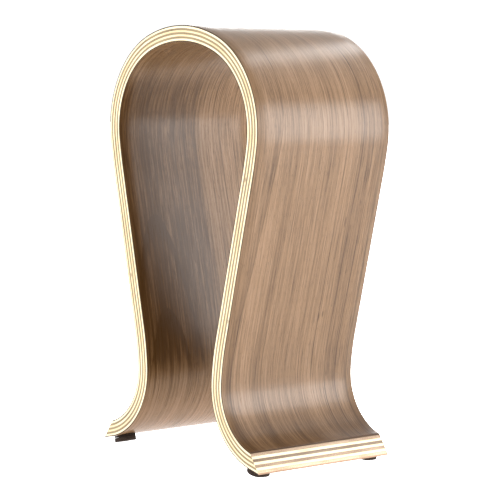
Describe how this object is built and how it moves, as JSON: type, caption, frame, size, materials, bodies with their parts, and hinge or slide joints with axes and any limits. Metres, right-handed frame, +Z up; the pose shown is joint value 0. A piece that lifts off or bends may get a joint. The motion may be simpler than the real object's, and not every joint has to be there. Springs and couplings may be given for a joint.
{
  "type": "headphone stand",
  "caption": "Horseshoe-shaped headphone stand bent from one strip of walnut-faced birch plywood, with flared feet on round stick-on pads.",
  "frame": {"origin": "on the floor under the centre of the stand", "axes": "+Z up; X across the two feet; Y through the depth of the strip, with the front at -Y"},
  "size_m": [0.1532, 0.106, 0.267],
  "materials": {
    "walnut_veneer": "satin clear-lacquered walnut veneer with straight grain along the strip",
    "birch_along": "sanded pale birch ply, grain along the strip",
    "birch_across": "sanded birch ply, grain across the strip, so darker end grain shows on the long edges",
    "foam_tape": "dark matt self-adhesive foam",
    "felt_pad": "dark brown pressed felt"
  },
  "bodies": {
    "root": {"outer_veneer": "walnut_veneer", "core_ply_1": "birch_along", "core_ply_2": "birch_across", "core_ply_3": "birch_along", "core_ply_4": "birch_across", "core_ply_5": "birch_along", "core_ply_6": "birch_across", "core_ply_7": "birch_along", "inner_veneer": "walnut_veneer", "foot_tape_front_left": "foam_tape", "foot_tape_front_right": "foam_tape", "foot_tape_rear_left": "foam_tape", "foot_tape_rear_right": "foam_tape", "foot_pad_front_left": "felt_pad", "foot_pad_front_right": "felt_pad", "foot_pad_rear_left": "felt_pad", "foot_pad_rear_right": "felt_pad"}
  },
  "joints": []
}
